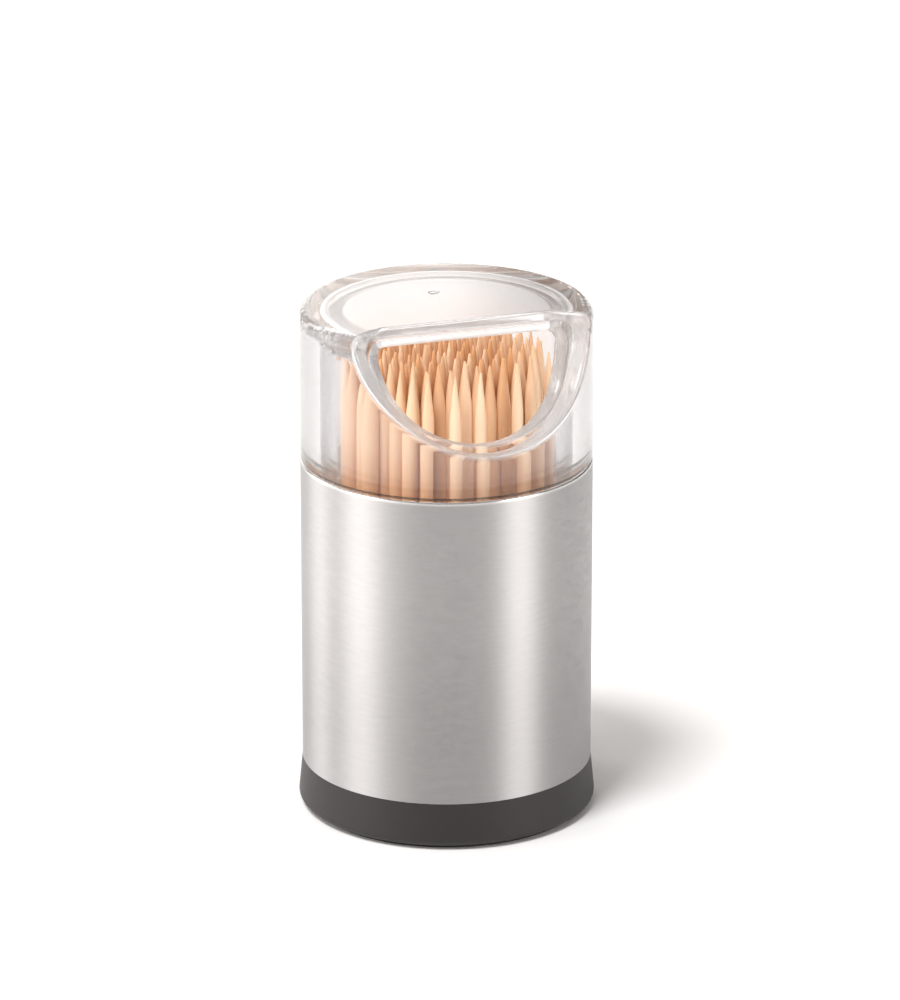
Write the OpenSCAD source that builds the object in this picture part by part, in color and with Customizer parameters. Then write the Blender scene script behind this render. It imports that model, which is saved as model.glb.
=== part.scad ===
// Round toothpick dispenser: dark base, steel sleeve, inner cup, clear window liner and a clear cap
// that turns on the liner. Millimetres, +Z up, origin at the centre of the face it stands on.
// The window faces -Y.

/* [Body] */
// Outer diameter of the steel sleeve and of the clear cap
body_d = 48; // [44:0.5:60]
// Height of the whole dispenser
total_h = 86; // [80:0.5:100]
// Height of the steel sleeve's top edge above the table
seam_h = 60; // [56:0.5:64]
// Wall of the steel sleeve
sleeve_wall = 0.6; // [0.4:0.1:1]
// Rounding of the sleeve's two edges
sleeve_edge_r = 0.25; // [0.1:0.05:0.28]

/* [Base] */
// Height of the base that shows below the sleeve
base_h = 8; // [6:0.5:9]
// How much wider the base's radius is at its foot than at the sleeve
base_flare = 0.6; // [0:0.1:2]
// Rounding of the base's lower edge
base_edge_r = 1.1; // [0.4:0.1:1.5]
// Height of the spigot above the floor that carries the inner cup
spigot_h = 3.5; // [2:0.5:8]
// Thickness of the deck that carries the inner cup
deck_t = 2; // [1.5:0.1:3]
// Number of ribs under the deck
rib_count = 6; // [3:1:12]
// Thickness of one rib
rib_t = 1.4; // [0.8:0.1:2.5]
// Height of the ribs below the deck
rib_h = 5; // [2:0.5:6]
// Radius of the hub that the ribs meet in
hub_r = 4; // [2:0.5:8]

/* [Foot ring] */
// Width of the non-slip ring
foot_w = 2.6; // [1.5:0.1:3]
// Thickness of the non-slip ring
foot_t = 1.6; // [1:0.1:2.5]
// How far the ring stands out below the base
foot_proud = 0.6; // [0.3:0.1:0.9]
// Distance from the base's foot edge in to the ring
foot_inset = 1.4; // [1.3:0.1:2]

/* [Inner cup] */
// Wall of the inner cup
cup_wall = 1.2; // [0.8:0.1:1.4]
// Height of the floor that the toothpicks stand on
floor_h = 13; // [12:0.5:16]
// Thickness of the inner cup's floor
floor_t = 1.5; // [1:0.1:2]
// Thickness of the cup's flange, which the clear liner stands on
flange_t = 1.5; // [1:0.1:3]
// Height of the socket wall round the liner's foot
socket_h = 5.5; // [3:0.5:8]
// Free height between the socket wall and the cap's spigot
socket_room = 1.8; // [0.5:0.1:4]

/* [Window liner] */
// Wall of the clear liner, which also sets the space for the toothpicks
liner_wall = 2.3; // [1.5:0.1:3]
// Thickness of the liner's top plate
liner_plate_t = 1.2; // [1:0.1:2]
// Rounding of the liner's shoulder
liner_shoulder_r = 3.2; // [2.5:0.1:3.6]
// Rounding inside the liner's shoulder
liner_inner_r = 1.5; // [0.8:0.1:2]
// How far the snap bead stands out of the liner
bead_out = 0.45; // [0.35:0.05:0.6]
// Width of the snap bead on the liner's wall
bead_w = 1.4; // [1:0.1:2]
// Height of the snap bead above the foot of the cap's spigot
bead_up = 1.6; // [1.4:0.1:3]

/* [Twist cap] */
// Wall of the clear cap above the sleeve
cap_wall = 3.3; // [2.6:0.1:4]
// Thickness of the cap's top plate
cap_plate_t = 1.8; // [1.2:0.1:2.5]
// Rounding of the cap's rim
cap_rim_r = 1.9; // [1:0.1:2.4]
// Length of the cap's spigot inside the sleeve
cap_spigot_h = 5; // [4:0.25:5.5]
// Diameter of the gate mark on the top plate
gate_d = 1.8; // [1:0.1:3]
// Depth of the gate mark
gate_depth = 0.3; // [0.2:0.05:0.6]
// Distance of the gate mark behind the axis
gate_y = 6.3; // [3:0.1:12]

/* [Window] */
// Distance of the top plate's straight edge in front of the axis
chord_y = 9; // [7:0.25:11]
// Half of the angle that the window spans at the top
window_half_angle = 57.5; // [45:0.5:60]
// Height of the cap's window from its sill to the top plate's face
window_h = 18.7; // [14:0.1:20]
// How far the liner's sill lies above the cap's
sill_step = 0.8; // [0:0.1:2]
// How full the lower corners of the cap's window are: 0 is a plain oval seen from the front
cap_fullness = 0; // [0:0.1:1.5]
// How full the lower corners of the liner's window are
liner_fullness = 1.2; // [0:0.1:1.5]

/* [Toothpicks] */
// Diameter of a toothpick
pick_d = 2.05; // [1.8:0.05:2.2]
// Length of the shortest toothpick
pick_l = 65.6; // [60:0.1:66.5]
// How much longer the longest toothpick is
pick_spread = 1.4; // [0:0.1:1.6]
// Length of a toothpick's pointed end
point_l = 8; // [5:0.5:12]
// Radius of the blunt tip
tip_r = 0.18; // [0.1:0.02:0.3]
// Distance between neighbours in a row
pick_pitch = 2.28; // [2.24:0.02:3]
// Distance between rows
row_pitch = 2.14; // [2.08:0.02:2.4]
// Number of rows
row_count = 14; // [8:1:14]
// Distance of the first row behind the toothpick that stands alone at the front
first_row_back = 4.5; // [4.3:0.1:7]

/* [Fits] */
// Gap between pieces that slide or turn on each other
slip_gap = 0.3; // [0.2:0.05:0.4]
// Gap between pieces that are pressed together
press_gap = 0.05; // [0.02:0.01:0.1]
// Gap under the cap where it meets the sleeve
seam_gap = 0.3; // [0.2:0.05:0.5]

/* [Hidden] */
$fn = 96;

// How far a cutter runs past the face it opens
past = 1;
// Straight pieces in a quarter of a rounded edge
arc_steps = 6;
// Straight pieces in the outline of the window
window_steps = 36;

body_r = body_d / 2;
sleeve_bore_r = body_r - sleeve_wall;
foot_edge_r = body_r + base_flare;
foot_outer_r = foot_edge_r - foot_inset;
foot_inner_r = foot_outer_r - foot_w;

cap_bore_r = body_r - cap_wall;
liner_r = cap_bore_r - slip_gap;
bore_r = liner_r - liner_wall;
cup_r = bore_r + cup_wall;
cup_bottom_h = floor_h - floor_t;
deck_bottom_h = cup_bottom_h - deck_t;
pocket_r = cup_r + press_gap;
spigot_r = sleeve_bore_r - press_gap;
spigot_top_h = cup_bottom_h + spigot_h;
recess_r = foot_inner_r - cup_wall;

cap_bottom_h = seam_h + seam_gap;
cap_spigot_bottom_h = cap_bottom_h - cap_spigot_h;
socket_r = liner_r + slip_gap;
socket_outer_r = socket_r + cup_wall;
socket_top_h = cap_spigot_bottom_h - socket_room;
ledge_h = socket_top_h - socket_h;
cap_spigot_r = sleeve_bore_r - slip_gap;
cap_ceiling_h = total_h - cap_plate_t;
liner_top_h = cap_ceiling_h - slip_gap;
liner_ceiling_h = liner_top_h - liner_plate_t;
bead_h = cap_spigot_bottom_h + bead_up;

// The circle that the toothpicks' axes may stand in
pick_r = pick_d / 2;
stand_r = bore_r - pick_r - slip_gap / 2;

// Points of an arc round [x, y] from angle a0 to a1
function arc(x, y, r, a0, a1) =
    [for (i = [0 : arc_steps]) let (a = a0 + (a1 - a0) * i / arc_steps) [x + r * cos(a), y + r * sin(a)]];

// Length of the toothpick with a given number, between the shortest and the longest
function pick_length(n) = pick_l + pick_spread * (0.5 + 0.5 * sin(n * 137.5 + 40 * sin(n * 61)));

// Distance of a row behind the axis
function row_y(row) = first_row_back - stand_r + (row - 1) * row_pitch;

// Rows that lie inside the bore: a narrower body has fewer
rows = [for (row = [1 : row_count]) if (abs(row_y(row)) <= stand_r) row];

// Half of the width that a row has inside the bore
function row_half_width(row) = sqrt(pow(stand_r, 2) - pow(row_y(row), 2));

// Places along a row: every other row starts half a pitch to the side
function row_places(row) =
    let (side = (row % 2) * 0.5, reach = ceil(row_half_width(row) / pick_pitch))
    [for (i = [-reach : reach]) if (abs(i + side) * pick_pitch <= row_half_width(row)) (i + side) * pick_pitch];

// Angles, from the front, of the toothpicks that stand against the wall in front of the first row
wall_angles = [-29, -14, 24];

// One toothpick, pointed at both ends, standing on the floor
module toothpick(number) {
    length = pick_length(number);
    translate([0, 0, floor_h])
        rotate_extrude($fn = 24)
            polygon([
                [0, 0],
                [tip_r, 0],
                [pick_r * 0.72, point_l * 0.5],
                [pick_r, point_l],
                [pick_r, length - point_l],
                [pick_r * 0.72, length - point_l * 0.5],
                [tip_r, length],
                [0, length]
            ]);
}

// Angle from the front at which the window's edge lies, a being 0 and 180 at its top corners
function edge_angle(a, fullness) =
    (1 - fullness) * asin(sin(window_half_angle) * cos(a)) + fullness * window_half_angle * cos(a);

// The window's cutter: a flat face along the chord, sides on planes through the axis, and an oval sill
module window_cutter(sill_h, fullness) {
    depth = total_h - sill_h;
    reach = (body_r + past) / chord_y;
    edge_x = chord_y * tan(window_half_angle);
    outline = concat(
        [[edge_x, total_h + past]],
        [for (i = [0 : window_steps])
            let (a = 180 * i / window_steps)
            [chord_y * tan(edge_angle(a, fullness)), total_h - depth * sin(a)]],
        [[-edge_x, total_h + past]]
    );
    translate([0, -chord_y, 0])
        rotate([90, 0, 0])
            linear_extrude(height = body_r + past - chord_y, scale = [reach, 1], slices = 1)
                polygon(outline);
}

module foot_ring() {
    round_r = foot_proud * 0.6;
    color("#2b2a29")
        rotate_extrude()
            polygon(concat(
                arc(foot_inner_r + round_r, round_r, round_r, 180, 270),
                arc(foot_outer_r - round_r, round_r, round_r, 270, 360),
                [[foot_outer_r, foot_t], [foot_inner_r, foot_t]]
            ));
}

module base() {
    color("#46423f")
        difference() {
            union() {
                rotate_extrude()
                    polygon(concat(
                        [[0, foot_proud]],
                        arc(foot_edge_r - base_edge_r, foot_proud + base_edge_r, base_edge_r, 270, 360),
                        [
                            [body_r, base_h],
                            [spigot_r, base_h],
                            [spigot_r, spigot_top_h - press_gap * 8],
                            [spigot_r - press_gap * 8, spigot_top_h],
                            [pocket_r, spigot_top_h],
                            [pocket_r, cup_bottom_h],
                            [0, cup_bottom_h]
                        ]
                    ));
            }
            // Seat of the foot ring
            translate([0, 0, foot_proud - past])
                difference() {
                    cylinder(r = foot_outer_r + press_gap, h = foot_t - foot_proud + past);
                    translate([0, 0, -past])
                        cylinder(r = foot_inner_r - press_gap, h = foot_t + 3 * past);
                }
            // Hollow underside, between the hub and the ribs
            difference() {
                translate([0, 0, foot_proud - past])
                    cylinder(r = recess_r, h = deck_bottom_h - foot_proud + past);
                translate([0, 0, deck_bottom_h - rib_h])
                    cylinder(r = hub_r, h = rib_h + past);
                for (i = [0 : rib_count - 1])
                    rotate([0, 0, i * 360 / rib_count])
                        translate([0, -rib_t / 2, deck_bottom_h - rib_h])
                            cube([recess_r + past, rib_t, rib_h + past]);
            }
        }
}

module sleeve() {
    color("#c9c9c7")
        rotate_extrude($fn = 128)
            polygon(concat(
                arc(body_r - sleeve_edge_r, seam_h - sleeve_edge_r, sleeve_edge_r, 0, 90),
                arc(sleeve_bore_r + sleeve_edge_r, seam_h - sleeve_edge_r, sleeve_edge_r, 90, 180),
                [[sleeve_bore_r, base_h], [body_r, base_h]]
            ));
}

module inner_cup() {
    color("#d9d9d6")
        rotate_extrude()
            polygon([
                [0, cup_bottom_h],
                [cup_r - cup_wall / 2, cup_bottom_h],
                [cup_r, cup_bottom_h + cup_wall / 2],
                [cup_r, ledge_h - flange_t - cup_wall],
                [cup_r + cup_wall, ledge_h - flange_t],
                [spigot_r, ledge_h - flange_t],
                [spigot_r, ledge_h],
                [socket_outer_r, ledge_h],
                [socket_outer_r, socket_top_h],
                [socket_r, socket_top_h],
                [socket_r, ledge_h],
                [bore_r, ledge_h],
                [bore_r, floor_h],
                [0, floor_h]
            ]);
}

module window_liner() {
    color("#e8eef0", 0.45)
        difference() {
            rotate_extrude($fn = 128)
                polygon(concat(
                    [
                        [bore_r, ledge_h],
                        [liner_r - cup_wall / 2, ledge_h],
                        [liner_r, ledge_h + cup_wall],
                        [liner_r, bead_h - bead_w / 2],
                        [liner_r + bead_out, bead_h - bead_w / 6],
                        [liner_r + bead_out, bead_h + bead_w / 6],
                        [liner_r, bead_h + bead_w / 2]
                    ],
                    arc(liner_r - liner_shoulder_r, liner_top_h - liner_shoulder_r, liner_shoulder_r, 0, 90),
                    [[0, liner_top_h], [0, liner_ceiling_h]],
                    arc(bore_r - liner_inner_r, liner_ceiling_h - liner_inner_r, liner_inner_r, 90, 0)
                ));
            window_cutter(total_h - window_h + sill_step, liner_fullness);
        }
}

module twist_cap() {
    groove_r = liner_r + bead_out + slip_gap;
    groove_half = bead_w / 2 + slip_gap;
    color("#f2f5f6", 0.35)
        difference() {
            rotate_extrude($fn = 128)
                polygon(concat(
                    [
                        [cap_bore_r, cap_spigot_bottom_h],
                        [cap_spigot_r - slip_gap, cap_spigot_bottom_h],
                        [cap_spigot_r, cap_spigot_bottom_h + slip_gap],
                        [cap_spigot_r, cap_bottom_h],
                        [body_r, cap_bottom_h]
                    ],
                    arc(body_r - cap_rim_r, total_h - cap_rim_r, cap_rim_r, 0, 90),
                    [
                        [0, total_h],
                        [0, cap_ceiling_h],
                        [cap_bore_r, cap_ceiling_h],
                        [cap_bore_r, bead_h + groove_half],
                        [groove_r, bead_h + bead_w / 6 + slip_gap],
                        [groove_r, bead_h - bead_w / 6 - slip_gap],
                        [cap_bore_r, bead_h - groove_half]
                    ]
                ));
            window_cutter(total_h - window_h, cap_fullness);
            // Gate mark behind the axis
            translate([0, gate_y, total_h - gate_depth])
                cylinder(d = gate_d, h = gate_depth + past, $fn = 32);
        }
}

module toothpick_front() {
    color("#e6b98a")
        translate([0, -stand_r, 0])
            toothpick(0);
}

module toothpicks_wall() {
    color("#e6b98a")
        for (i = [0 : len(wall_angles) - 1])
            rotate([0, 0, wall_angles[i]])
                translate([0, -stand_r, 0])
                    toothpick(i + 1);
}

module toothpick_row(row) {
    color("#e6b98a")
        for (x = row_places(row))
            translate([x, row_y(row), 0])
                toothpick(row * row_count + x / pick_pitch);
}

foot_ring();
base();
sleeve();
inner_cup();
window_liner();
twist_cap();
toothpick_front();
toothpicks_wall();
for (row = rows)
    toothpick_row(row);
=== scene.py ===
import math
import random

import bpy
import numpy as np
from mathutils import Matrix, Vector


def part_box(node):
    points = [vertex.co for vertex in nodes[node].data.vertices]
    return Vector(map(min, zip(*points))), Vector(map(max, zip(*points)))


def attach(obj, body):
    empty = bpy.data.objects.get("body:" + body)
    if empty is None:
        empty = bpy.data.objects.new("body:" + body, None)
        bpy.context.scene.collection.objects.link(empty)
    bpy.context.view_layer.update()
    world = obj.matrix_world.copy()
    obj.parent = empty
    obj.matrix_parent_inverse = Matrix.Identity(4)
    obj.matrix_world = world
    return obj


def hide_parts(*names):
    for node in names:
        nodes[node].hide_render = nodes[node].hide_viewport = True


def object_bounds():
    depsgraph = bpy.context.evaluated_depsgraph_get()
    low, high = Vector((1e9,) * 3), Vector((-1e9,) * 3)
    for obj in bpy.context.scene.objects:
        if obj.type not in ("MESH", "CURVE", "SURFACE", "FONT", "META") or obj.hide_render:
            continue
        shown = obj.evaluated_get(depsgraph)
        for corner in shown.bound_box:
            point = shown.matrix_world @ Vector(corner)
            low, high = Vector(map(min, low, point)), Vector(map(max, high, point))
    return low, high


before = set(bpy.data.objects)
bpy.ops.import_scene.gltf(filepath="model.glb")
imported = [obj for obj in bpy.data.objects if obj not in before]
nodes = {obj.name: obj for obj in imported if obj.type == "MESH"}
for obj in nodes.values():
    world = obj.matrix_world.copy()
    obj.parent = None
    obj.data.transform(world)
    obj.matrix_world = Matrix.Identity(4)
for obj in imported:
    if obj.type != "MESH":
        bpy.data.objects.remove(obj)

cad_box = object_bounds()
MM = 0.001

# Camera: a long lens looks down on the dispenser from a little to the left of its window.
# The tilt comes from the ellipses of the rim and foot. The centre is the object's place in the picture.
VIEW_AZIMUTH = math.radians(-19.0)
VIEW_ELEVATION = math.radians(19.83)
CAMERA_DISTANCE = 1.0
PICTURE_WIDTH = 900
PICTURE_HEIGHT = 1000
FOCAL_PIXELS = 6065.0
CENTRE_PIXEL = (446.6, 552.6)
CLIP_START = 0.01
LIGHT_BOUNCES = 32

object_centre = (cad_box[0] + cad_box[1]) / 2
camera_back = Vector((
    math.sin(VIEW_AZIMUTH) * math.cos(VIEW_ELEVATION),
    -math.cos(VIEW_AZIMUTH) * math.cos(VIEW_ELEVATION),
    math.sin(VIEW_ELEVATION),
))
camera_right = Vector((math.cos(VIEW_AZIMUTH), math.sin(VIEW_AZIMUTH), 0.0))
camera_up = camera_back.cross(camera_right)
pixel_size = CAMERA_DISTANCE / FOCAL_PIXELS
aim = (
    object_centre
    + camera_right * (PICTURE_WIDTH / 2 - CENTRE_PIXEL[0]) * pixel_size
    + camera_up * (CENTRE_PIXEL[1] - PICTURE_HEIGHT / 2) * pixel_size
)
camera_data = bpy.data.cameras.new("camera")
camera = bpy.data.objects.new("camera", camera_data)
bpy.context.scene.collection.objects.link(camera)
camera.location = object_centre + camera_back * CAMERA_DISTANCE
camera.rotation_mode = "QUATERNION"
camera.rotation_quaternion = (aim - camera.location).to_track_quat("-Z", "Y")
camera_data.lens = camera_data.sensor_width * FOCAL_PIXELS / PICTURE_HEIGHT
camera_data.clip_start = CLIP_START
bpy.context.scene.camera = camera
bpy.context.scene.view_settings.view_transform = "Standard"
# Light crosses many faces of the two clear mouldings before it leaves them
bpy.context.scene.cycles.max_bounces = LIGHT_BOUNCES
bpy.context.scene.cycles.transmission_bounces = LIGHT_BOUNCES
bpy.context.scene.cycles.glossy_bounces = LIGHT_BOUNCES


# Studio: a grey tent with upright softboxes round it, a white lid overhead and a backdrop behind.
# It is not one room: polished plastic mirrors the softboxes dimmed, and light that has come through
# it sees an even white tent, greyer at the sides. Bearings are in degrees, heights from -1 to 1.
def new_material(name):
    material = bpy.data.materials.new(name)
    material.use_nodes = True
    return material, material.node_tree, material.node_tree.nodes["Principled BSDF"]


def add_node(tree, kind, **values):
    node = tree.nodes.new(kind)
    for key, value in values.items():
        if key in node.inputs:
            node.inputs[key].default_value = value
        else:
            setattr(node, key, value)
    return node


def math_node(tree, operation, a, b=None):
    node = tree.nodes.new("ShaderNodeMath")
    node.operation = operation
    for socket, value in zip(node.inputs, (a, b)):
        if value is None:
            continue
        if isinstance(value, (int, float)):
            socket.default_value = value
        else:
            tree.links.new(value, socket)
    return node.outputs[0]


def smooth_step(tree, value, low, high, top=1.0):
    """0 below the low value, rising smoothly to the top at the high one."""
    step = add_node(tree, "ShaderNodeMapRange", interpolation_type="SMOOTHSTEP")
    step.inputs["From Min"].default_value = low
    step.inputs["From Max"].default_value = high
    step.inputs["To Max"].default_value = top
    tree.links.new(value, step.inputs["Value"])
    return step.outputs[0]


def fade_out(tree, value, low, high):
    """1 below the low value, falling smoothly to 0 at the high one."""
    return math_node(tree, "SUBTRACT", 1.0, smooth_step(tree, value, low, high))


# Each softbox: bearing from the camera, positive to the right; half width; brightness
SOFTBOXES = (
    (-71.0, 18.0, 4.9),
    (-42.0, 13.0, 0.9),
    (-116.0, 13.5, 4.2),
    (59.5, 15.0, 4.6),
)
BOX_SHAPE = 3.0
BOX_TOP = (0.45, 0.65)
# Share of the softboxes that a polished face does not mirror
MIRROR_DROP = 0.7
TENT_GREY = 0.10
LID_WHITE = 0.45
LID_FADE = (0.45, 0.75)
# Backdrop, from straight behind: a white part from the left to just right of it, then a grey one
BACKDROP_WHITE = 2.1
BACKDROP_GREY = 0.4
BACKDROP_LEFT = (22.0, 38.0)
BACKDROP_EDGE = (-0.15, 1.05)
BACKDROP_RIGHT = (5.0, 12.0)
BACKDROP_FOOT = (0.15, 0.25)
BACKDROP_TOP = (0.60, 0.80)
THROUGH_WHITE = 0.93
THROUGH_GREY = 0.45
THROUGH_SIDE = (55.0, 110.0)
STUDIO_WARMTH = (1.0, 0.965, 0.935, 1.0)

world = bpy.data.worlds.new("studio")
bpy.context.scene.world = world
world.use_nodes = True
sky = world.node_tree
direction = add_node(sky, "ShaderNodeTexCoord")
parts = add_node(sky, "ShaderNodeSeparateXYZ")
sky.links.new(direction.outputs["Generated"], parts.inputs[0])
side_x, side_y, height = parts.outputs
towards_right = math_node(
    sky, "ADD",
    math_node(sky, "MULTIPLY", side_x, camera_right.x),
    math_node(sky, "MULTIPLY", side_y, camera_right.y),
)
level_back = Vector((camera_back.x, camera_back.y, 0.0)).normalized()
towards_camera = math_node(
    sky, "ADD",
    math_node(sky, "MULTIPLY", side_x, level_back.x),
    math_node(sky, "MULTIPLY", side_y, level_back.y),
)
bearing = math_node(sky, "ARCTAN2", towards_right, towards_camera)
ray = add_node(sky, "ShaderNodeLightPath")
mirrored = ray.outputs["Is Singular Ray"]

boxes = 0.0
for centre, half_width, brightness in SOFTBOXES:
    offset = math_node(sky, "SUBTRACT", bearing, math.radians(centre))
    share = math_node(sky, "ABSOLUTE", math_node(sky, "DIVIDE", offset, math.radians(half_width)))
    fall = math_node(sky, "MULTIPLY", math_node(sky, "POWER", share, BOX_SHAPE), -1.0)
    lit = math_node(sky, "MULTIPLY", math_node(sky, "EXPONENT", fall), brightness)
    boxes = math_node(sky, "ADD", boxes, lit)
boxes = math_node(sky, "MULTIPLY", boxes, fade_out(sky, height, *BOX_TOP))
dimmed = math_node(sky, "SUBTRACT", 1.0, math_node(sky, "MULTIPLY", mirrored, MIRROR_DROP))
boxes = math_node(sky, "MULTIPLY", boxes, dimmed)
light = math_node(sky, "ADD", boxes, TENT_GREY)
light = math_node(sky, "MAXIMUM", light, smooth_step(sky, height, *LID_FADE, LID_WHITE))

# Angle from straight behind, positive to the left
turned = math_node(
    sky, "ARCTAN2",
    math_node(sky, "MULTIPLY", towards_right, -1.0),
    math_node(sky, "MULTIPLY", towards_camera, -1.0),
)
turned_right = math_node(sky, "MULTIPLY", turned, -1.0)
left_part = fade_out(sky, turned, *map(math.radians, BACKDROP_LEFT))
white_part = fade_out(sky, turned_right, *map(math.radians, BACKDROP_EDGE))
right_part = fade_out(sky, turned_right, *map(math.radians, BACKDROP_RIGHT))
white = math_node(
    sky, "MULTIPLY", math_node(sky, "MULTIPLY", white_part, left_part), BACKDROP_WHITE - BACKDROP_GREY)
grey = math_node(sky, "MULTIPLY", math_node(sky, "MULTIPLY", left_part, right_part), BACKDROP_GREY)
backdrop = math_node(sky, "ADD", white, grey)
# It starts above the floor, but polished plastic mirrors it down to the floor
from_floor = math_node(sky, "ADD", height, mirrored)
backdrop = math_node(sky, "MULTIPLY", backdrop, smooth_step(sky, from_floor, *BACKDROP_FOOT))
backdrop = math_node(sky, "MULTIPLY", backdrop, fade_out(sky, height, *BACKDROP_TOP))
light = math_node(sky, "MAXIMUM", light, backdrop)

from_behind = math_node(sky, "ABSOLUTE", turned)
side_fade = smooth_step(
    sky, from_behind, *map(math.radians, THROUGH_SIDE), THROUGH_WHITE - THROUGH_GREY)
through = math_node(sky, "SUBTRACT", THROUGH_WHITE, side_fade)
strength = add_node(sky, "ShaderNodeMix", data_type="FLOAT")
sky.links.new(ray.outputs["Is Transmission Ray"], strength.inputs[0])
sky.links.new(light, strength.inputs[2])
sky.links.new(through, strength.inputs[3])
sky.links.new(strength.outputs[0], sky.nodes["Background"].inputs["Strength"])
sky.nodes["Background"].inputs["Color"].default_value = STUDIO_WARMTH

# Floor: a plain white sweep that the dispenser stands on.
# Matt paper, slightly warm, with hardly any gloss.
FLOOR_SIZE = 6.0
FLOOR_WHITE = (0.93, 0.925, 0.92, 1.0)
bpy.ops.mesh.primitive_plane_add(size=FLOOR_SIZE)
floor = bpy.context.object
floor.name = "floor"
floor_material, tree, shader = new_material("white_sweep")
shader.inputs["Base Color"].default_value = FLOOR_WHITE
shader.inputs["Roughness"].default_value = 0.8
shader.inputs["Specular IOR Level"].default_value = 0.2
floor.data.materials.append(floor_material)

# Key light: one large soft lamp at the front left, which throws the faint shadow to the right and
# behind. It is kept out of the reflections, where the softboxes stand for it.
KEY_BEARING = math.radians(-37.0)
KEY_ELEVATION = math.radians(62.0)
KEY_SPREAD = math.radians(17.0)
KEY_STRENGTH = 2.25
key_data = bpy.data.lights.new("key", "SUN")
key_data.angle = KEY_SPREAD
key_data.energy = KEY_STRENGTH
key = bpy.data.objects.new("key", key_data)
bpy.context.scene.collection.objects.link(key)
key_level = level_back * math.cos(KEY_BEARING) + camera_right * math.sin(KEY_BEARING)
key_back = key_level * math.cos(KEY_ELEVATION) + Vector((0, 0, math.sin(KEY_ELEVATION)))
key.visible_glossy = False
key.rotation_mode = "QUATERNION"
key.rotation_quaternion = (-key_back).to_track_quat("-Z", "Y")


# Foot ring: a soft non-slip ring set in a groove under the base.
# Moulded rubber, matt and nearly black, with a fine grain.
def set_material(node_name, material):
    mesh = nodes[node_name].data
    mesh.materials.clear()
    mesh.materials.append(material)


def grain(tree, shader, scale, strength, distance, stretch=(1.0, 1.0, 1.0)):
    """A fine unevenness of the surface, and the noise that it comes from."""
    place = add_node(tree, "ShaderNodeTexCoord")
    turn = add_node(tree, "ShaderNodeMapping", Scale=stretch)
    noise = add_node(tree, "ShaderNodeTexNoise", Scale=scale, Detail=4.0)
    bump = add_node(tree, "ShaderNodeBump", Strength=strength, Distance=distance)
    tree.links.new(place.outputs["Object"], turn.inputs["Vector"])
    tree.links.new(turn.outputs[0], noise.inputs["Vector"])
    tree.links.new(noise.outputs["Fac"], bump.inputs["Height"])
    tree.links.new(bump.outputs[0], shader.inputs["Normal"])
    return noise


RUBBER_BLACK = (0.012, 0.0115, 0.011, 1.0)
foot_rubber, tree, shader = new_material("foot_rubber")
shader.inputs["Base Color"].default_value = RUBBER_BLACK
shader.inputs["Roughness"].default_value = 0.75
grain(tree, shader, scale=1800.0, strength=0.3, distance=0.1 * MM)
set_material("foot_ring", foot_rubber)


# Base: the dark foot that the sleeve and the cup are pressed on to.
# Injection moulded plastic, warm dark grey with a fine spark-eroded grain, flaring slightly to its foot.
def noise_range(tree, noise, low, high, noise_low=0.0, noise_high=1.0):
    """The noise, spread between two values."""
    tone = add_node(tree, "ShaderNodeMapRange")
    tone.inputs["From Min"].default_value = noise_low
    tone.inputs["From Max"].default_value = noise_high
    tone.inputs["To Min"].default_value = low
    tone.inputs["To Max"].default_value = high
    tree.links.new(noise.outputs["Fac"], tone.inputs["Value"])
    return tone.outputs[0]


BASE_GREY = (0.0145, 0.0120, 0.0112, 1.0)
base_plastic, tree, shader = new_material("base_plastic")
noise = grain(tree, shader, scale=2600.0, strength=0.25, distance=0.08 * MM)
tree.links.new(noise_range(tree, noise, low=0.42, high=0.55), shader.inputs["Roughness"])
shader.inputs["Base Color"].default_value = BASE_GREY
set_material("base", base_plastic)


# Sleeve: the steel tube that gives the body its look, pressed on to the base.
# Stainless steel, brushed round the tube, so that the softboxes stretch into upright bands. Its cut
# lip is polished, and its colour there is painted much lighter, a painted highlight along the edge.
# Its inner face, which shows with the top off, is taken to be dull and light.
def place_on_piece(tree):
    """Height of the shaded point, its distance from the upright axis, and its x and y."""
    place = add_node(tree, "ShaderNodeTexCoord")
    parts = add_node(tree, "ShaderNodeSeparateXYZ")
    tree.links.new(place.outputs["Object"], parts.inputs[0])
    x, y, z = parts.outputs
    squares = math_node(
        tree, "ADD", math_node(tree, "POWER", x, 2.0), math_node(tree, "POWER", y, 2.0))
    return z, math_node(tree, "SQRT", squares), x, y


def shade_of(colour, share):
    return (*(share * part for part in colour[:3]), 1.0)


def mix_colours(tree, share, first, second, blend="MIX"):
    """The first colour changed by a share of the second; each is a colour or a node's output."""
    mix = add_node(tree, "ShaderNodeMix", data_type="RGBA", blend_type=blend)
    tree.links.new(share, mix.inputs[0])
    for socket, colour in ((mix.inputs[6], first), (mix.inputs[7], second)):
        if isinstance(colour, tuple):
            socket.default_value = colour
        else:
            tree.links.new(colour, socket)
    return mix.outputs[2]


STEEL = (0.585, 0.575, 0.575, 1.0)
STREAKS = ((0.25, 0.93), (0.75, 1.07))
# Colour of the cut lip: a painted highlight, far lighter than the steel itself
LIP_HIGHLIGHT_STEEL = (0.95, 0.93, 0.91, 1.0)
LIP_HEIGHT = 0.7 * MM
LIP_POLISH = 0.2
INNER_STEEL = (0.90, 0.88, 0.87, 1.0)
INNER_FACE = 0.3 * MM
FOOT_REACH = 32.0 * MM
FOOT_DARK = 0.15
BLACK = (0.0, 0.0, 0.0, 1.0)
sleeve_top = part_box("sleeve")[1].z
sleeve_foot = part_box("base")[1].z
brushed_steel, tree, shader = new_material("brushed_steel")
shader.inputs["Anisotropic"].default_value = 0.9
shader.inputs["Anisotropic Rotation"].default_value = 0.25
tangent = add_node(tree, "ShaderNodeTangent", direction_type="RADIAL", axis="Z")
tree.links.new(tangent.outputs[0], shader.inputs["Tangent"])
noise = grain(tree, shader, scale=330.0, strength=0.06, distance=0.04 * MM, stretch=(1.0, 1.0, 5.0))
up, across, _, _ = place_on_piece(tree)
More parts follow.
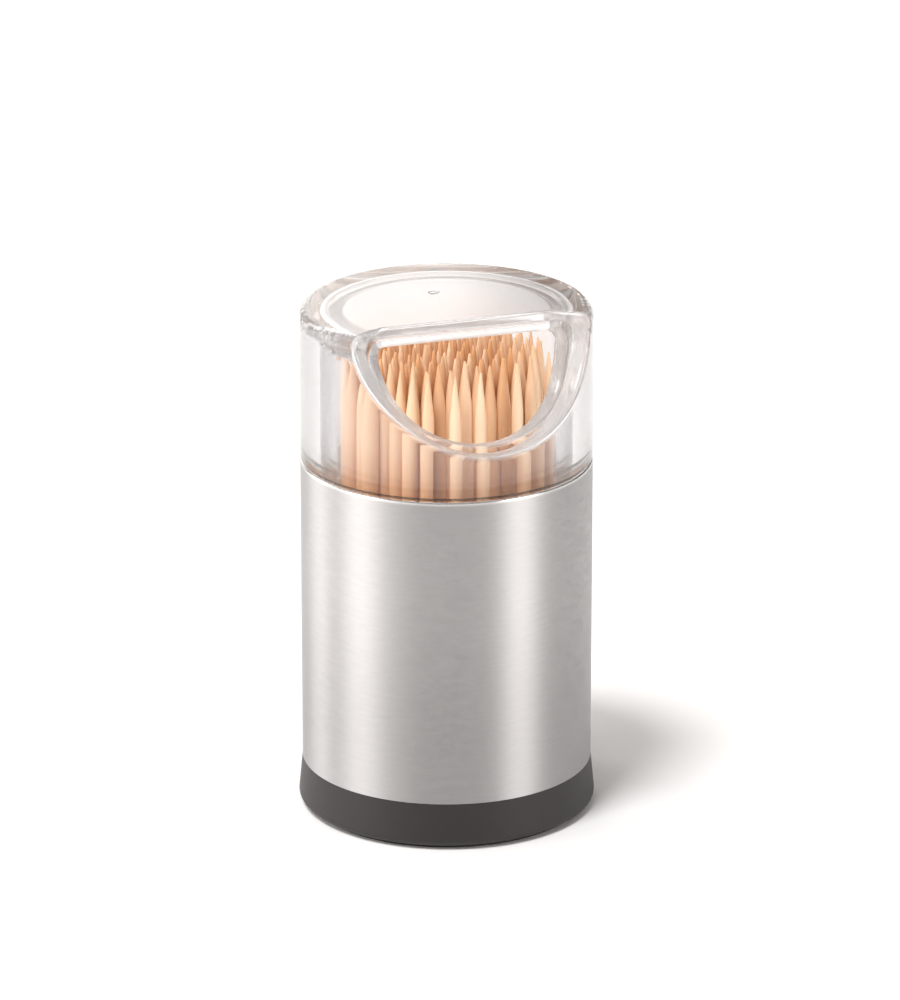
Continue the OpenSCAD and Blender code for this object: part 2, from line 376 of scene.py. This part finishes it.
on_lip = smooth_step(tree, up, sleeve_top - LIP_HEIGHT, sleeve_top)
within = math_node(tree, "LESS_THAN", across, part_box("sleeve")[1].x - INNER_FACE)
brushed = noise_range(tree, noise, low=0.42, high=0.52, noise_low=0.3, noise_high=0.7)
rough = math_node(tree, "SUBTRACT", brushed, math_node(tree, "MULTIPLY", on_lip, LIP_POLISH))
tree.links.new(rough, shader.inputs["Roughness"])
tree.links.new(math_node(tree, "SUBTRACT", 1.0, within), shader.inputs["Metallic"])
streaks = add_node(tree, "ShaderNodeValToRGB")
for stop, (position, share) in zip(streaks.color_ramp.elements, STREAKS):
    stop.position = position
    stop.color = shade_of(STEEL, share)
tree.links.new(noise.outputs["Fac"], streaks.inputs["Fac"])
# Darker towards the foot, in place of the dark base and floor that the real one mirrors there
near_foot = math_node(tree, "SUBTRACT", FOOT_DARK, smooth_step(
    tree, up, sleeve_foot, sleeve_foot + FOOT_REACH, FOOT_DARK))
steel = mix_colours(tree, near_foot, streaks.outputs["Color"], BLACK, blend="MULTIPLY")
# Painted highlight on the lip; its lower roughness above is the real polish
steel = mix_colours(tree, on_lip, steel, LIP_HIGHLIGHT_STEEL)
steel = mix_colours(tree, within, steel, INNER_STEEL)
tree.links.new(steel, shader.inputs["Base Color"])
set_material("sleeve", brushed_steel)

# Inner cup: the moulded cup that holds the toothpicks upright inside the sleeve.
# Satin light grey plastic. With the top on, little of it shows between the toothpicks.
CUP_GREY = (0.80, 0.78, 0.76, 1.0)
cup_plastic, tree, shader = new_material("cup_plastic")
shader.inputs["Base Color"].default_value = CUP_GREY
shader.inputs["Roughness"].default_value = 0.4
grain(tree, shader, scale=900.0, strength=0.15, distance=0.1 * MM)
set_material("inner_cup", cup_plastic)

# Toothpicks: birch sticks, pointed at both ends by a turning cutter, dropped in by the handful.
# Each has its own tone of pale or warmer wood and stands a hair off upright.
PALE_WOOD = (0.92, 0.70, 0.50, 1.0)
WARM_WOOD = (0.72, 0.385, 0.185, 1.0)
OWN_TONE = 0.75
FIBRE_TONE = 0.35
# Warmer at the cut points; darker and warmer down among the others, a painted shade of the crowd: how much,
# and between which heights
POINTS_WARM = 0.35
POINTS_HEIGHT = (0.074, 0.083)
CROWD_PAINTED_SHADE = 0.55
CROWD_SHADE_HEIGHTS = (0.058, 0.068)
pick_wood, tree, shader = new_material("pick_wood")
place = add_node(tree, "ShaderNodeTexCoord")
stretch = add_node(tree, "ShaderNodeMapping", Scale=(1.0, 1.0, 0.035))
tree.links.new(place.outputs["Object"], stretch.inputs["Vector"])
fibre = add_node(tree, "ShaderNodeTexNoise", Scale=1500.0, Detail=3.0, Roughness=0.6)
tree.links.new(stretch.outputs[0], fibre.inputs["Vector"])
own_tone = add_node(tree, "ShaderNodeAttribute", attribute_name="pick_tone")
up, _, _, _ = place_on_piece(tree)
warmth = math_node(tree, "MULTIPLY", own_tone.outputs["Fac"], OWN_TONE)
warmth = math_node(tree, "ADD", warmth, math_node(tree, "MULTIPLY", fibre.outputs["Fac"], FIBRE_TONE))
warmth = math_node(tree, "ADD", warmth, smooth_step(tree, up, *POINTS_HEIGHT, POINTS_WARM))
# Painted shade: darker and warmer low down among the other toothpicks, where their crowd keeps light out
crowd_shade = math_node(tree, "SUBTRACT", CROWD_PAINTED_SHADE, smooth_step(tree, up, *CROWD_SHADE_HEIGHTS, CROWD_PAINTED_SHADE))
warmth = math_node(tree, "ADD", warmth, crowd_shade)
wood = add_node(tree, "ShaderNodeValToRGB")
for stop, position, colour in zip(wood.color_ramp.elements, (0.0, 1.0), (PALE_WOOD, WARM_WOOD)):
    stop.position = position
    stop.color = colour
tree.links.new(warmth, wood.inputs["Fac"])
tree.links.new(wood.outputs["Color"], shader.inputs["Base Color"])
shader.inputs["Roughness"].default_value = 0.55
bump = add_node(tree, "ShaderNodeBump", Strength=0.25, Distance=0.06 * MM)
tree.links.new(fibre.outputs["Fac"], bump.inputs["Height"])
tree.links.new(bump.outputs[0], shader.inputs["Normal"])

PICK_SIDES = 14
MODEL_LENGTH = 60.0 * MM
POINT_LENGTH = 8.0 * MM
# Profile of the pointed end: share of the point's length, share of the waist radius
POINT_SHAPE = ((0.0, 0.10), (0.03, 0.17), (0.25, 0.40), (0.5, 0.63), (0.75, 0.84), (0.92, 0.96), (1.0, 1.0))
WAIST_SHARE = 0.93
SMOOTH_ANGLE = math.radians(50)
FREE_LEAN = math.radians(0.22)
LEAN_SPREAD = 0.6
# Those further out than this lean inwards
LEANS_IN_FROM = 12 * MM
TONE_POWER = 1.3
PICK_ROWS = 14
FOOT_LEVEL = 0.01 * MM
APART = 1.0 * MM
STICK_REACH = 1.14 * MM
random.seed(7)


def deselect():
    if bpy.context.object and bpy.context.object.mode != "OBJECT":
        bpy.ops.object.mode_set(mode="OBJECT")
    bpy.ops.object.select_all(action="DESELECT")


def pick_places(node_name):
    """Middle, foot, tip and radius of each toothpick of a CAD row, read from the row's own mesh."""
    points = [v.co for v in nodes[node_name].data.vertices]
    foot = min(p.z for p in points)
    feet = []
    for p in points:
        if p.z < foot + FOOT_LEVEL and all((p.xy - q).length > APART for q in feet):
            feet.append(p.xy.copy())
    places = []
    for q in feet:
        stick = [p for p in points if (p.xy - q).length < STICK_REACH]
        low = [p.xy for p in stick if p.z < foot + FOOT_LEVEL]
        middle = sum((p for p in low), Vector((0.0, 0.0))) / len(low)
        radius = max((p.xy - middle).length for p in stick)
        places.append((middle, foot, max(p.z for p in stick), radius))
    return places


def model_toothpick():
    """One toothpick on the upright axis, 1 mm in radius at its waist, to be copied to each place."""
    rings = [(share * POINT_LENGTH, width * MM) for share, width in POINT_SHAPE]
    rings += [(MODEL_LENGTH - z, r) for z, r in reversed(rings)]
    deselect()
    bpy.ops.mesh.primitive_circle_add(vertices=PICK_SIDES, radius=rings[0][1], fill_type="NGON")
    bpy.ops.object.mode_set(mode="EDIT")
    bpy.ops.mesh.select_all(action="SELECT")
    for (z0, r0), (z1, r1) in zip(rings, rings[1:]):
        bpy.ops.mesh.extrude_region_move(TRANSFORM_OT_translate={"value": (0.0, 0.0, z1 - z0)})
        bpy.ops.transform.resize(value=(r1 / r0, r1 / r0, 1.0), center_override=(0.0, 0.0, z1))
    bpy.ops.mesh.select_all(action="SELECT")
    bpy.ops.mesh.normals_make_consistent(inside=False)
    bpy.ops.object.mode_set(mode="OBJECT")
    return bpy.context.object


model_stick = model_toothpick()


def copy_toothpick(middle, foot, tip, radius):
    """A copy of the modelled toothpick in its own place, with its own tone and lean."""
    mesh = model_stick.data.copy()
    points = np.empty(len(mesh.vertices) * 3)
    mesh.vertices.foreach_get("co", points)
    points = points.reshape(-1, 3)
    points[points[:, 2] > MODEL_LENGTH / 2, 2] += tip - foot - MODEL_LENGTH
    points[:, :2] *= radius * WAIST_SHARE / MM
    spin = random.uniform(0.0, math.tau)
    inward = -middle.normalized() if middle.length > LEANS_IN_FROM else Vector((0.0, 0.0))
    lean_x = random.gauss(0.0, FREE_LEAN) * LEAN_SPREAD + inward.x * FREE_LEAN
    lean_y = random.gauss(0.0, FREE_LEAN) * LEAN_SPREAD + inward.y * FREE_LEAN
    mesh.vertices.foreach_set("co", points.ravel())
    lean = Matrix(((1, 0, lean_x, 0), (0, 1, lean_y, 0), (0, 0, 1, 0), (0, 0, 0, 1)))
    mesh.transform(Matrix.Translation((middle.x, middle.y, foot)) @ lean @ Matrix.Rotation(spin, 4, "Z"))
    tone = mesh.attributes.new("pick_tone", "FLOAT", "POINT")
    tone.data.foreach_set("value", [random.random() ** TONE_POWER] * len(mesh.vertices))
    return mesh


pick_nodes = ["toothpick_front", "toothpicks_wall"]
pick_nodes += ["toothpick_row_%d" % row for row in range(1, PICK_ROWS + 1)]
for name in pick_nodes:
    sticks = []
    for middle, foot, tip, radius in pick_places(name):
        stick = bpy.data.objects.new(name + "_stick", copy_toothpick(middle, foot, tip, radius))
        bpy.context.scene.collection.objects.link(stick)
        sticks.append(stick)
    deselect()
    for stick in sticks:
        stick.select_set(True)
    bpy.context.view_layer.objects.active = sticks[0]
    if len(sticks) > 1:
        bpy.ops.object.join()
    bunch = bpy.context.view_layer.objects.active
    bunch.name = name + "_wood"
    bpy.ops.object.shade_smooth_by_angle(angle=SMOOTH_ANGLE)
    bunch.data.materials.append(pick_wood)
    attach(bunch, "body")
    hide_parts(name)
bpy.data.objects.remove(model_stick)

# Window liner: the fixed inner moulding. It stands in the cup's socket, and the cap turns on it.
# Clear polished plastic with a round shoulder, a D-shaped top plate and a window in its wall. The
# form is a turned outline less the window, in millimetres, as the cap's is.
ROUND_STEPS = 8
FAR = 1e9
SKIN_STEP = 0.42
SKIN_PASSES = 3
LEAST_STEEPNESS = 0.2
EDGE_SAMPLES = 8001
TOTAL_H = cad_box[1].z / MM
WINDOW_HALF_ANGLE = math.radians(57.5)
WINDOW_H = 18.7
WINDOW_CORNER = 0.5
SILL_STEP = 0.8
CHORD_Y = 9.0
CHORD_EDGE = 0.22
CHORD_SHARP_R = 15.5
CHORD_ROUND_R = 19.0
CUT_DEPTH = 0.5
CUT_FALL = 1.4
CORNER_FADE = 1.0
CORNER_MATT = 0.5
CORNER_SIZE = 2.1


def rounded(corners):
    """Outline of an upright section from corners (radius, height, rounding): its points, and its arcs."""
    outline, arcs = [], []
    for i, (r, z, rounding) in enumerate(corners):
        here = Vector((r, z))
        if not rounding:
            outline.append(here)
            continue
        before = (Vector(corners[i - 1][:2]) - here).normalized()
        after = (Vector(corners[(i + 1) % len(corners)][:2]) - here).normalized()
        half = before.angle(after) / 2
        reach = rounding / math.tan(half)
        start, end = here + before * reach, here + after * reach
        outwards = -(before + after).normalized()
        middle = here - outwards * rounding / math.sin(half)
        turn = 1.0 if (start - middle).cross(end - middle) > 0 else -1.0
        arcs.append((middle, rounding, outwards, math.sin(half), len(outline)))
        for k in range(ROUND_STEPS + 1):
            a = turn * (math.pi - 2 * half) * (k / ROUND_STEPS - 0.5)
            outline.append(middle + Matrix.Rotation(a, 2) @ outwards * rounding)
    return outline, arcs


def outline_distance(section, r, z):
    """Distance from a closed outline with true arcs, less than 0 inside it."""
    outline, arcs = section
    on_arc = {first + k for *_, first in arcs for k in range(1, ROUND_STEPS + 1)}
    nearest = np.full(r.shape, FAR)
    outside = np.ones(r.shape)
    for i in range(len(outline)):
        start, end = outline[i - 1], outline[i]
        along = end - start
        dr, dz = r - start.x, z - start.y
        if i not in on_arc:
            share = np.clip((dr * along.x + dz * along.y) / along.length_squared, 0.0, 1.0)
            nearest = np.minimum(nearest, (dr - along.x * share) ** 2 + (dz - along.y * share) ** 2)
        above_start, below_end = z >= start.y, z < end.y
        left = along.x * dz > along.y * dr
        crossed = (above_start & below_end & left) | (~above_start & ~below_end & ~left)
        outside = np.where(crossed, -outside, outside)
    nearest = np.sqrt(nearest)
    for middle, rounding, outwards, widest, _ in arcs:
        dr, dz = r - middle.x, z - middle.y
        spoke = np.hypot(dr, dz)
        facing = dr * outwards.x + dz * outwards.y >= spoke * widest
        nearest = np.where(facing, np.minimum(nearest, np.abs(spoke - rounding)), nearest)
    return outside * nearest


def round_max(a, b, rounding):
    """The larger of two distances, with the edge between their faces rounded."""
    return np.minimum(-rounding, np.maximum(a, b)) + np.hypot(
        np.maximum(a + rounding, 0.0), np.maximum(b + rounding, 0.0))


def edge_rounding(x, y, on_wall):
    """Rounding of a window edge: small along the chord of the top plates, full on the wall."""
    share = np.clip((np.hypot(x, y) - CHORD_SHARP_R) / (CHORD_ROUND_R - CHORD_SHARP_R), 0.0, 1.0)
    return CHORD_EDGE + (on_wall - CHORD_EDGE) * share


def window_share(x, y, z, depth, fullness):
    """0 at the window's middle, 1 at its edge: an oval sill with sides on planes through the axis."""
    cosine = np.linspace(0.0, 1.0, EDGE_SAMPLES)
    narrow = np.arcsin(math.sin(WINDOW_HALF_ANGLE) * cosine)
    edge = (1 - fullness) * narrow + fullness * WINDOW_HALF_ANGLE * cosine
    angle = np.arctan2(np.abs(x), -y)
    past_edge = np.maximum(angle - WINDOW_HALF_ANGLE, 0.0) / WINDOW_HALF_ANGLE
    across = np.interp(angle, edge, cosine) + past_edge
    return np.hypot(across, np.maximum(TOTAL_H - z, 0.0) / depth)


def window_distance(x, y, z, depth, fullness):
    """Distance from the window's opening, less than 0 inside it."""
    small = 0.02
    least_slope = 0.02
    share = window_share(x, y, z, depth, fullness)
    slope = np.sqrt(
        (window_share(x + small, y, z, depth, fullness) - share) ** 2
        + (window_share(x, y + small, z, depth, fullness) - share) ** 2
        + (window_share(x, y, z + small, depth, fullness) - share) ** 2) / small
    return round_max((share - 1.0) / np.maximum(slope, least_slope), y + CHORD_Y, WINDOW_CORNER)


def matt_share(opening, x, y, z, corner_r, corner_z):
    """1 on the faces of the window's opening, less in the inner corner between wall and top plate."""
    cut = np.clip(CUT_FALL - np.abs(opening(x, y, z)) / CUT_DEPTH, 0.0, 1.0)
    r = np.hypot(x, y)
    out = np.clip((r - corner_r) / CORNER_FADE + 0.5, 0.0, 1.0)
    up = np.clip((z - corner_z) / CORNER_FADE + 0.5, 0.0, 1.0)
    inner = (r < corner_r + CORNER_SIZE) & (z < corner_z + CORNER_SIZE)
    return np.maximum(cut, np.where(inner, CORNER_MATT * out * up, 0.0))


def form_slope(form, points, small=0.03):
    """The way in which the distance from a form grows, at each point."""
    sides = []
    for c in range(3):
        move = np.zeros(3)
        move[c] = small
        sides.append((form(*(points + move).T) - form(*(points - move).T)) / (2 * small))
    return np.stack(sides, axis=1)


def grow_skin(name, form, matt, low, high):
    """A closed skin over the form: a net of quads is laid through a grid, then drawn on to the form.
    Clear plastic bends light at every face, and the facets that booleans and bevels leave show in it,
    so the skin takes its shading normals from the form too. Its attribute matt says where it is less
    polished."""
    counts = [int(math.ceil((h - l) / SKIN_STEP)) + 1 for l, h in zip(low, high)]
    axes = [l + SKIN_STEP * np.arange(n) for l, n in zip(low, counts)]
    values = form(*np.meshgrid(*axes, indexing="ij"))
    inside = values < 0
    cells = values.size
    stride = np.array([counts[1] * counts[2], counts[2], 1])
    total, number, rings, flips = np.zeros((cells, 3)), np.zeros(cells), [], []
    # Each grid edge that crosses the form gives a quad between the four cells round it
    for axis in range(3):
        first = [slice(None)] * 3
        second = [slice(None)] * 3
        first[axis], second[axis] = slice(None, -1), slice(1, None)
        edges = np.argwhere(inside[tuple(first)] != inside[tuple(second)])
        step = np.zeros(3, int)
        step[axis] = 1
        v0, v1 = values[tuple(edges.T)], values[tuple((edges + step).T)]
        points = np.array(low) + SKIN_STEP * (edges + step * (v0 / (v0 - v1))[:, None])
        u, v = np.zeros(3, int), np.zeros(3, int)
        u[(axis + 1) % 3], v[(axis + 2) % 3] = 1, 1
        corners = ((0, 0), (1, 0), (1, 1), (0, 1))
        ring = np.stack([(edges - a * u - b * v) @ stride for a, b in corners], axis=1)
        for k in range(4):
            for c in range(3):
                total[:, c] += np.bincount(ring[:, k], weights=points[:, c], minlength=cells)
            number += np.bincount(ring[:, k], minlength=cells)
        rings.append(ring)
        flips.append(v0 > 0)
    used = np.flatnonzero(number)
    points = total[used] / number[used][:, None]
    index = np.zeros(cells, int)
    index[used] = np.arange(len(used))
    quads = index[np.concatenate(rings)]
    flip = np.concatenate(flips)
    quads[flip] = quads[flip][:, ::-1]
    # The corners are drawn on to the form, no further than half a step at a time
    for _ in range(SKIN_PASSES):
        way = form_slope(form, points)
        steepness = np.maximum((way ** 2).sum(axis=1), LEAST_STEEPNESS)
        reach = np.clip(form(*points.T) / steepness, -SKIN_STEP / 2, SKIN_STEP / 2)
        points = points - way * reach[:, None]
    normals = form_slope(form, points)
    normals /= np.maximum(np.linalg.norm(normals, axis=1), 1e-9)[:, None]
    mesh = bpy.data.meshes.new(name)
    mesh.from_pydata((points * MM).tolist(), [], quads.tolist())
    mesh.shade_smooth()
    mesh.normals_split_custom_set_from_vertices(normals.tolist())
    mesh.attributes.new("matt", "FLOAT", "POINT").data.foreach_set("value", matt(*points.T))
    skin = bpy.data.objects.new(name, mesh)
    bpy.context.scene.collection.objects.link(skin)
    return skin


CUT_ROUGHNESS = 0.17
CUT_MILKINESS = 0.24
PLASTIC_IOR = 1.49


def clear_plastic(name, tint):
    """Clear polished plastic with a faint unevenness, a little matt and milky on the faces of the
    window, so that they catch the light. Gives back what a piece may add to."""
    material, tree, shader = new_material(name)
    shader.inputs["Base Color"].default_value = (*tint, 1.0)
    shader.inputs["IOR"].default_value = PLASTIC_IOR
    grain(tree, shader, scale=90.0, strength=0.02, distance=0.3 * MM)
    matt = add_node(tree, "ShaderNodeAttribute", attribute_name="matt").outputs["Fac"]
    rough = math_node(tree, "MULTIPLY", matt, CUT_ROUGHNESS)
    clearness = math_node(tree, "SUBTRACT", 1.0, math_node(tree, "MULTIPLY", matt, CUT_MILKINESS))
    tree.links.new(rough, shader.inputs["Roughness"])
    tree.links.new(clearness, shader.inputs["Transmission Weight"])
    return material, tree, shader, rough, clearness


LINER_WALL = 2.3
LINER_PLATE = 1.2
LINER_SHOULDER = 3.2
LINER_INNER_ROUND = 1.5
LINER_EDGE = 0.55
LINER_FULLNESS = 1.2
LINER_FOOT_IN = 0.15
LINER_FOOT_OUT = 0.6
# The corner under its top plate is a little matt from here on, inside the bore and below the plate
LINER_MATT_IN = 2.0
LINER_MATT_DOWN = 1.8
SLIP_GAP = 0.3
BEAD_OUT = 0.45
BEAD_W = 1.4
BEAD_UP = 1.6
# The outlines run past the axis, where the mirrored half lies over them
PAST_AXIS = -9.0
LINER_GRID = ((-21.57, -21.63, 47.31), (21.6, 21.6, 84.6))
liner_low, liner_high = (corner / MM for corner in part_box("window_liner"))
cap_low, cap_high = (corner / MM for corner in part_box("twist_cap"))
liner_r = liner_high.x - BEAD_OUT
liner_bore = liner_r - LINER_WALL
plate_z = liner_high.z - LINER_PLATE
bead_z = cap_low.z + BEAD_UP
liner_outline = rounded([
    (PAST_AXIS, plate_z, 0),
    (liner_bore, plate_z, LINER_INNER_ROUND),
    (liner_bore, liner_low.z, LINER_FOOT_IN),
    (liner_r, liner_low.z, LINER_FOOT_OUT),
    (liner_r, bead_z - BEAD_W / 2, 0),
    (liner_r + BEAD_OUT, bead_z - BEAD_W / 6, 0),
    (liner_r + BEAD_OUT, bead_z + BEAD_W / 6, 0),
    (liner_r, bead_z + BEAD_W / 2, 0),
    (liner_r, liner_high.z, LINER_SHOULDER),
    (PAST_AXIS, liner_high.z, 0),
])


def liner_opening(x, y, z):
    return window_distance(x, y, z, WINDOW_H - SILL_STEP, LINER_FULLNESS)


def liner_form(x, y, z):
    turned = outline_distance(liner_outline, np.hypot(x, y), z)
    return round_max(turned, -liner_opening(x, y, z), edge_rounding(x, y, LINER_EDGE))


def liner_matt(x, y, z):
    return matt_share(liner_opening, x, y, z, liner_bore - LINER_MATT_IN, plate_z - LINER_MATT_DOWN)


LINER_TINT = (0.97, 0.96, 0.965)
liner = grow_skin("liner_moulding", liner_form, liner_matt, *LINER_GRID)
liner_clear, tree, shader, rough, clearness = clear_plastic("liner_clear", LINER_TINT)
up, across, side_x, side_y = place_on_piece(tree)
# The flat of its top plate is half milky. It is a guess, so that no toothpick shows through it
FROST_PAST_ROUND = 0.4
FROST_BELOW_FACE = 0.05
FROST_BELOW_TOP = 0.2
FROST_R = (liner_bore - LINER_INNER_ROUND + FROST_PAST_ROUND) * MM
FROST_HEIGHTS = ((plate_z - FROST_BELOW_FACE) * MM, (liner_high.z - FROST_BELOW_TOP) * MM)
FROST_ROUGHNESS = 0.6
FROST_MILKINESS = 0.42
frost = math_node(tree, "LESS_THAN", across, FROST_R)
frost = math_node(tree, "MULTIPLY", frost, math_node(tree, "GREATER_THAN", up, FROST_HEIGHTS[0]))
frost = math_node(tree, "MULTIPLY", frost, math_node(tree, "LESS_THAN", up, FROST_HEIGHTS[1]))
rough = math_node(tree, "MAXIMUM", rough, math_node(tree, "MULTIPLY", frost, FROST_ROUGHNESS))
tree.links.new(rough, shader.inputs["Roughness"])
clearness = math_node(tree, "SUBTRACT", clearness, math_node(tree, "MULTIPLY", frost, FROST_MILKINESS))
tree.links.new(clearness, shader.inputs["Transmission Weight"])
# Painted reflection: the left part of its shoulder is painted grey, in place of a dark reflection that
# the studio does not give. In degrees from the left towards the back.
SHOULDER_REFLECTION_SHADE = 0.42
SHOULDER_REFLECTION_FROM = (-40.0, -25.0)
SHOULDER_REFLECTION_TO = (25.0, 40.0)
SHOULDER_REFLECTION_FADE = 0.6
SHOULDER_REFLECTION_FULL = 2.0
SHOULDER_REFLECTION_R = ((liner_r - LINER_SHOULDER - SHOULDER_REFLECTION_FADE) * MM, (liner_r - LINER_SHOULDER) * MM)
SHOULDER_REFLECTION_HEIGHTS = ((liner_high.z - LINER_SHOULDER) * MM, (liner_high.z - SHOULDER_REFLECTION_FULL) * MM)
round_left = math_node(tree, "ARCTAN2", side_y, math_node(tree, "MULTIPLY", side_x, -1.0))
painted_reflection = math_node(
    tree, "MULTIPLY",
    smooth_step(tree, round_left, *map(math.radians, SHOULDER_REFLECTION_FROM)),
    fade_out(tree, round_left, *map(math.radians, SHOULDER_REFLECTION_TO)),
)
shoulder = math_node(
    tree, "MULTIPLY",
    smooth_step(tree, across, *SHOULDER_REFLECTION_R),
    smooth_step(tree, up, *SHOULDER_REFLECTION_HEIGHTS),
)
painted_reflection = math_node(tree, "MULTIPLY", painted_reflection, shoulder)
# The liner's colour, painted grey where the reflection is painted on the shoulder
reflection_colour = mix_colours(tree, painted_reflection, (*LINER_TINT, 1.0), shade_of(LINER_TINT, SHOULDER_REFLECTION_SHADE))
tree.links.new(reflection_colour, shader.inputs["Base Color"])
liner.data.materials.append(liner_clear)
liner.visible_shadow = False
liner.visible_diffuse = False
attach(liner, "liner")
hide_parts("window_liner")

# Twist cap: the outer moulding, turned by hand to open or close the window.
# Clear polished plastic, 3.3 mm thick, with a rounded rim and a spigot inside the sleeve. Its skin is
# grown as the liner's is.
CAP_WALL = 3.3
CAP_PLATE = 1.8
CAP_RIM = 1.9
CAP_INNER_ROUND = 2.0
CAP_EDGE = 0.8
CAP_LOWER_EDGE = 0.15
SPIGOT_ROUND = 0.3
SLEEVE_WALL = 0.6
SEAM_GAP = 0.3
# The mark of the moulding gate: a shallow dimple in the disc
GATE_Y = 6.3
GATE_BALL = 1.5
GATE_DEPTH = 0.3
CAP_GRID = ((-24.67, -24.73, 54.61), (24.7, 24.7, 86.6))
cap_r = cap_high.x
cap_bore = cap_r - CAP_WALL
seam_z = sleeve_top / MM + SEAM_GAP
spigot_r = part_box("sleeve")[1].x / MM - SLEEVE_WALL - SLIP_GAP
groove_r = liner_r + BEAD_OUT + SLIP_GAP
cap_outline = rounded([
    (PAST_AXIS, TOTAL_H - CAP_PLATE, 0),
    (cap_bore, TOTAL_H - CAP_PLATE, CAP_INNER_ROUND),
    (cap_bore, bead_z + BEAD_W / 2 + SLIP_GAP, 0),
    (groove_r, bead_z + BEAD_W / 6 + SLIP_GAP, 0),
    (groove_r, bead_z - BEAD_W / 6 - SLIP_GAP, 0),
    (cap_bore, bead_z - BEAD_W / 2 - SLIP_GAP, 0),
    (cap_bore, cap_low.z, 0),
    (spigot_r, cap_low.z, SPIGOT_ROUND),
    (spigot_r, seam_z, 0),
    (cap_r, seam_z, CAP_LOWER_EDGE),
    (cap_r, TOTAL_H, CAP_RIM),
    (PAST_AXIS, TOTAL_H, 0),
])


def cap_opening(x, y, z):
    return window_distance(x, y, z, WINDOW_H, 0.0)


def cap_form(x, y, z):
    turned = outline_distance(cap_outline, np.hypot(x, y), z)
    solid = round_max(turned, -cap_opening(x, y, z), edge_rounding(x, y, CAP_EDGE))
    gate = np.sqrt(x ** 2 + (y - GATE_Y) ** 2 + (z - TOTAL_H + GATE_DEPTH - GATE_BALL) ** 2)
    return np.maximum(solid, GATE_BALL - gate)


def cap_matt(x, y, z):
    return matt_share(
        cap_opening, x, y, z, cap_bore - CAP_INNER_ROUND, TOTAL_H - CAP_PLATE - CAP_INNER_ROUND)


CAP_TINT = (0.985, 0.975, 0.98)
# Painted shade: the share of the tint that is left by how far the plastic is seen edge on, from 0 for face
# on to 1. It darkens the edges in place of the darker surroundings seen through them
TOP_EDGE_SHADES = ((0.0, 0.96), (0.45, 0.90), (0.55, 0.82), (0.66, 0.73), (0.78, 0.86), (1.0, 0.92))
WALL_EDGE_SHADES = ((0.0, 0.93), (0.42, 0.86), (0.52, 0.68), (0.62, 0.50), (0.76, 0.38), (1.0, 0.34))
# The ring of the top over the wall gets less of the painted edge shade than the disc
RING_R = (20.0 * MM, 21.2 * MM)
RING_EDGE_SHADE = 0.98
cap = grow_skin("cap_moulding", cap_form, cap_matt, *CAP_GRID)
cap_clear, tree, shader, _, _ = clear_plastic("cap_clear", CAP_TINT)
facing = add_node(tree, "ShaderNodeLayerWeight", Blend=0.5)


def painted_edge_shade(edge_shades):
    ramp = add_node(tree, "ShaderNodeValToRGB")
    stops = ramp.color_ramp.elements
    for position, share in edge_shades:
        stop = stops.new(position) if 0.0 < position < 1.0 else stops[-int(position)]
        stop.color = shade_of(CAP_TINT, share)
    tree.links.new(facing.outputs["Facing"], ramp.inputs["Fac"])
    return ramp.outputs["Color"]


surface = add_node(tree, "ShaderNodeNewGeometry")
lie = add_node(tree, "ShaderNodeSeparateXYZ")
tree.links.new(surface.outputs["Normal"], lie.inputs[0])
flatness = math_node(tree, "ABSOLUTE", lie.outputs[2])
up, across, _, _ = place_on_piece(tree)
over_wall = smooth_step(tree, across, *RING_R)
top = mix_colours(tree, over_wall, painted_edge_shade(TOP_EDGE_SHADES), shade_of(CAP_TINT, RING_EDGE_SHADE))
# The colour carries the painted edge shade as well as the plastic's own tint
tint = mix_colours(tree, flatness, painted_edge_shade(WALL_EDGE_SHADES), top)
# A dark band round its lower edge stands in for the shadow in the gap above the sleeve
SEAM_LINE = 0.5
SEAM_IN = 0.2
SEAM_SHADE = (0.10, 0.10, 0.10, 1.0)
in_gap = math_node(tree, "LESS_THAN", up, (seam_z + SEAM_LINE) * MM)
outside = math_node(tree, "GREATER_THAN", across, (spigot_r + SEAM_IN) * MM)
in_gap = math_node(tree, "MULTIPLY", in_gap, outside)
tint = mix_colours(tree, in_gap, tint, SEAM_SHADE, blend="MULTIPLY")
tree.links.new(tint, shader.inputs["Base Color"])
cap.data.materials.append(cap_clear)
cap.visible_shadow = False
cap.visible_diffuse = False
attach(cap, "cap")
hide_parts("twist_cap")
